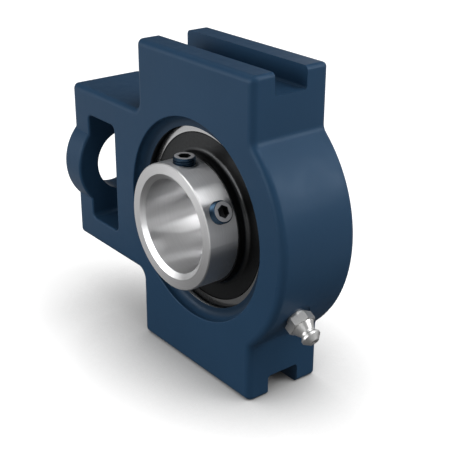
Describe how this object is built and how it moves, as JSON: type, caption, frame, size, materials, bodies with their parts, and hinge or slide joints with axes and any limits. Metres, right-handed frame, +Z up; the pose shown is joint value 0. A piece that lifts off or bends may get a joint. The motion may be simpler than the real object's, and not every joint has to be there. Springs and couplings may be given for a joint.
{
  "type": "take-up bearing unit",
  "caption": "Cast take-up housing that slides between two guide rails, with a window for an adjusting screw, a swivelling ball bearing insert with lock screws, and a grease nipple.",
  "frame": {"origin": "bearing centre: on the shaft bore's axis, in the middle of the housing's thickness", "axes": "-Y along the shaft axis towards the side with the lock screws, +X along the take-up travel towards the round end, away from the adjusting screw, +Z up, across the two guide slots"},
  "size_m": [0.1166, 0.0407, 0.1036],
  "materials": {
    "housing_paint": "satin blue paint over cast iron",
    "bearing_steel": "ground bearing steel",
    "blackened_sheet": "blackened sheet steel, satin",
    "blackened_screw": "black oxide",
    "cage_polymer": "moulded polyamide",
    "seal_rubber": "matt moulded rubber",
    "plated_steel": "zinc plated steel",
    "spring_steel": "drawn wire"
  },
  "bodies": {
    "housing": {"housing": "housing_paint", "nipple_body": "plated_steel", "nipple_spring": "spring_steel"},
    "insert": {"outer_ring": "bearing_steel", "seal_washer_front": "blackened_sheet", "seal_washer_back": "blackened_sheet", "seal_lip_front": "seal_rubber", "seal_lip_back": "seal_rubber"},
    "inner_ring": {"inner_ring": "bearing_steel", "flinger_front": "blackened_sheet", "flinger_back": "blackened_sheet"},
    "cage": {"cage": "cage_polymer"},
    "ball_1": {"ball_1": "bearing_steel"},
    "ball_2": {"ball_2": "bearing_steel"},
    "ball_3": {"ball_3": "bearing_steel"},
    "ball_4": {"ball_4": "bearing_steel"},
    "ball_5": {"ball_5": "bearing_steel"},
    "ball_6": {"ball_6": "bearing_steel"},
    "ball_7": {"ball_7": "bearing_steel"},
    "ball_8": {"ball_8": "bearing_steel"},
    "ball_9": {"ball_9": "bearing_steel"},
    "lock_screw_1": {"lock_screw_1": "blackened_screw"},
    "lock_screw_2": {"lock_screw_2": "blackened_screw"},
    "nipple_ball": {"nipple_ball": "bearing_steel"}
  },
  "joints": [
    {"name": "insert_swivel", "type": "hinge", "parent": "housing", "child": "insert", "pos_m": [0, 0, 0], "axis": [0, 0, 1], "range_deg": [-2, 2]},
    {"name": "ring_spin", "type": "hinge", "parent": "insert", "child": "inner_ring", "pos_m": [0, 0, 0], "axis": [0, 1, 0], "continuous": true},
    {"name": "cage_spin", "type": "hinge", "parent": "insert", "child": "cage", "pos_m": [0, 0, 0], "axis": [0, 1, 0], "continuous": true},
    {"name": "ball_1_roll", "type": "hinge", "parent": "cage", "child": "ball_1", "pos_m": [0, 0, 0.023], "axis": [0, 1, 0], "continuous": true},
    {"name": "ball_2_roll", "type": "hinge", "parent": "cage", "child": "ball_2", "pos_m": [-0.01478, 0, 0.01762], "axis": [0, 1, 0], "continuous": true},
    {"name": "ball_3_roll", "type": "hinge", "parent": "cage", "child": "ball_3", "pos_m": [-0.02265, 0, 0.00399], "axis": [0, 1, 0], "continuous": true},
    {"name": "ball_4_roll", "type": "hinge", "parent": "cage", "child": "ball_4", "pos_m": [-0.01992, 0, -0.0115], "axis": [0, 1, 0], "continuous": true},
    {"name": "ball_5_roll", "type": "hinge", "parent": "cage", "child": "ball_5", "pos_m": [-0.00787, 0, -0.02161], "axis": [0, 1, 0], "continuous": true},
    {"name": "ball_6_roll", "type": "hinge", "parent": "cage", "child": "ball_6", "pos_m": [0.00787, 0, -0.02161], "axis": [0, 1, 0], "continuous": true},
    {"name": "ball_7_roll", "type": "hinge", "parent": "cage", "child": "ball_7", "pos_m": [0.01992, 0, -0.0115], "axis": [0, 1, 0], "continuous": true},
    {"name": "ball_8_roll", "type": "hinge", "parent": "cage", "child": "ball_8", "pos_m": [0.02265, 0, 0.00399], "axis": [0, 1, 0], "continuous": true},
    {"name": "ball_9_roll", "type": "hinge", "parent": "cage", "child": "ball_9", "pos_m": [0.01478, 0, 0.01762], "axis": [0, 1, 0], "continuous": true},
    {"name": "lock_screw_1_travel", "type": "slide", "parent": "inner_ring", "child": "lock_screw_1", "axis": [0.0262, 0, 0.9997], "range_m": [-0.00035, 0.0025]},
    {"name": "lock_screw_2_travel", "type": "slide", "parent": "inner_ring", "child": "lock_screw_2", "axis": [0.8829, 0, 0.4695], "range_m": [-0.00035, 0.0025]},
    {"name": "nipple_valve", "type": "slide", "parent": "housing", "child": "nipple_ball", "axis": [-0.8695, 0, 0.4939], "range_m": [0, 0.0006], "stiffness_N_per_m": 800, "springref_m": -0.0005, "deforming": ["nipple_spring"]}
  ],
  "couplings": [
    {"joint": "cage_spin", "follows": "ring_spin", "ratio": 0.39647},
    {"joint": "ball_1_roll", "follows": "ring_spin", "ratio": -2.3112},
    {"joint": "ball_2_roll", "follows": "ring_spin", "ratio": -2.3112},
    {"joint": "ball_3_roll", "follows": "ring_spin", "ratio": -2.3112},
    {"joint": "ball_4_roll", "follows": "ring_spin", "ratio": -2.3112},
    {"joint": "ball_5_roll", "follows": "ring_spin", "ratio": -2.3112},
    {"joint": "ball_6_roll", "follows": "ring_spin", "ratio": -2.3112},
    {"joint": "ball_7_roll", "follows": "ring_spin", "ratio": -2.3112},
    {"joint": "ball_8_roll", "follows": "ring_spin", "ratio": -2.3112},
    {"joint": "ball_9_roll", "follows": "ring_spin", "ratio": -2.3112}
  ]
}
